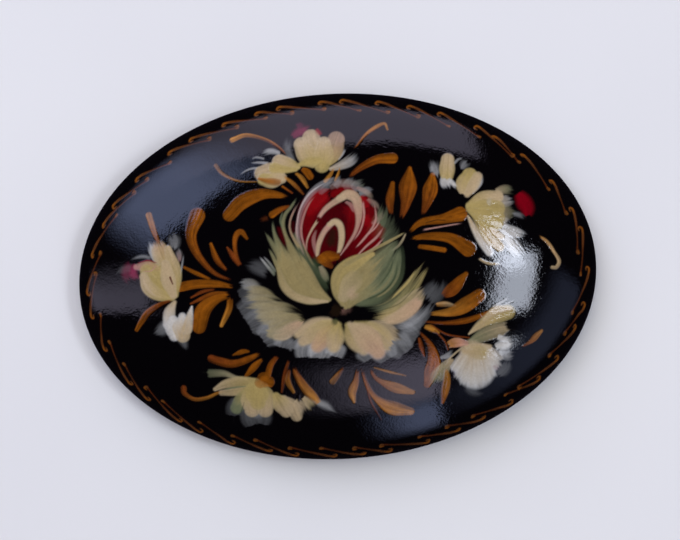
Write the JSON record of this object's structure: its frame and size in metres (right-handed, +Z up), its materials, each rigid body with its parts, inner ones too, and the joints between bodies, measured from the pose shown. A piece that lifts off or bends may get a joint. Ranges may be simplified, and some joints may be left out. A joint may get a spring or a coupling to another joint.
{
  "type": "brooch",
  "caption": "Oval domed lacquer brooch with painted flowers, a riveted bar pin, a hinged needle and a turning safety catch.",
  "frame": {"origin": "in the plane that the rim rests on, under the middle of the oval", "axes": "+Z up through the painted dome, +X along the long axis of the oval towards the catch end, +Y towards the top edge of the painting"},
  "size_m": [0.068, 0.048, 0.011],
  "materials": {
    "lacquer_painted": "polished",
    "lacquer_back": "gloss",
    "nickel_plate": "satin",
    "spring_steel": "polished"
  },
  "bodies": {
    "brooch": {"dome_shell": "lacquer_painted", "back_board": "lacquer_back", "pin_bar": "nickel_plate", "fixing_rivets": "nickel_plate", "hinge_rivet": "spring_steel", "catch_housing": "nickel_plate"},
    "needle": {"needle": "spring_steel"},
    "lock": {"safety_lock": "nickel_plate"}
  },
  "joints": [
    {"name": "needle_hinge", "type": "hinge", "parent": "brooch", "child": "needle", "pos_m": [-0.0164, 0, 0.00275], "axis": [0, 1, 0], "range_deg": [0, 85]},
    {"name": "lock_turn", "type": "hinge", "parent": "brooch", "child": "lock", "pos_m": [0.015, 0, 0.00275], "axis": [1, 0, 0], "range_deg": [0, 120]}
  ]
}
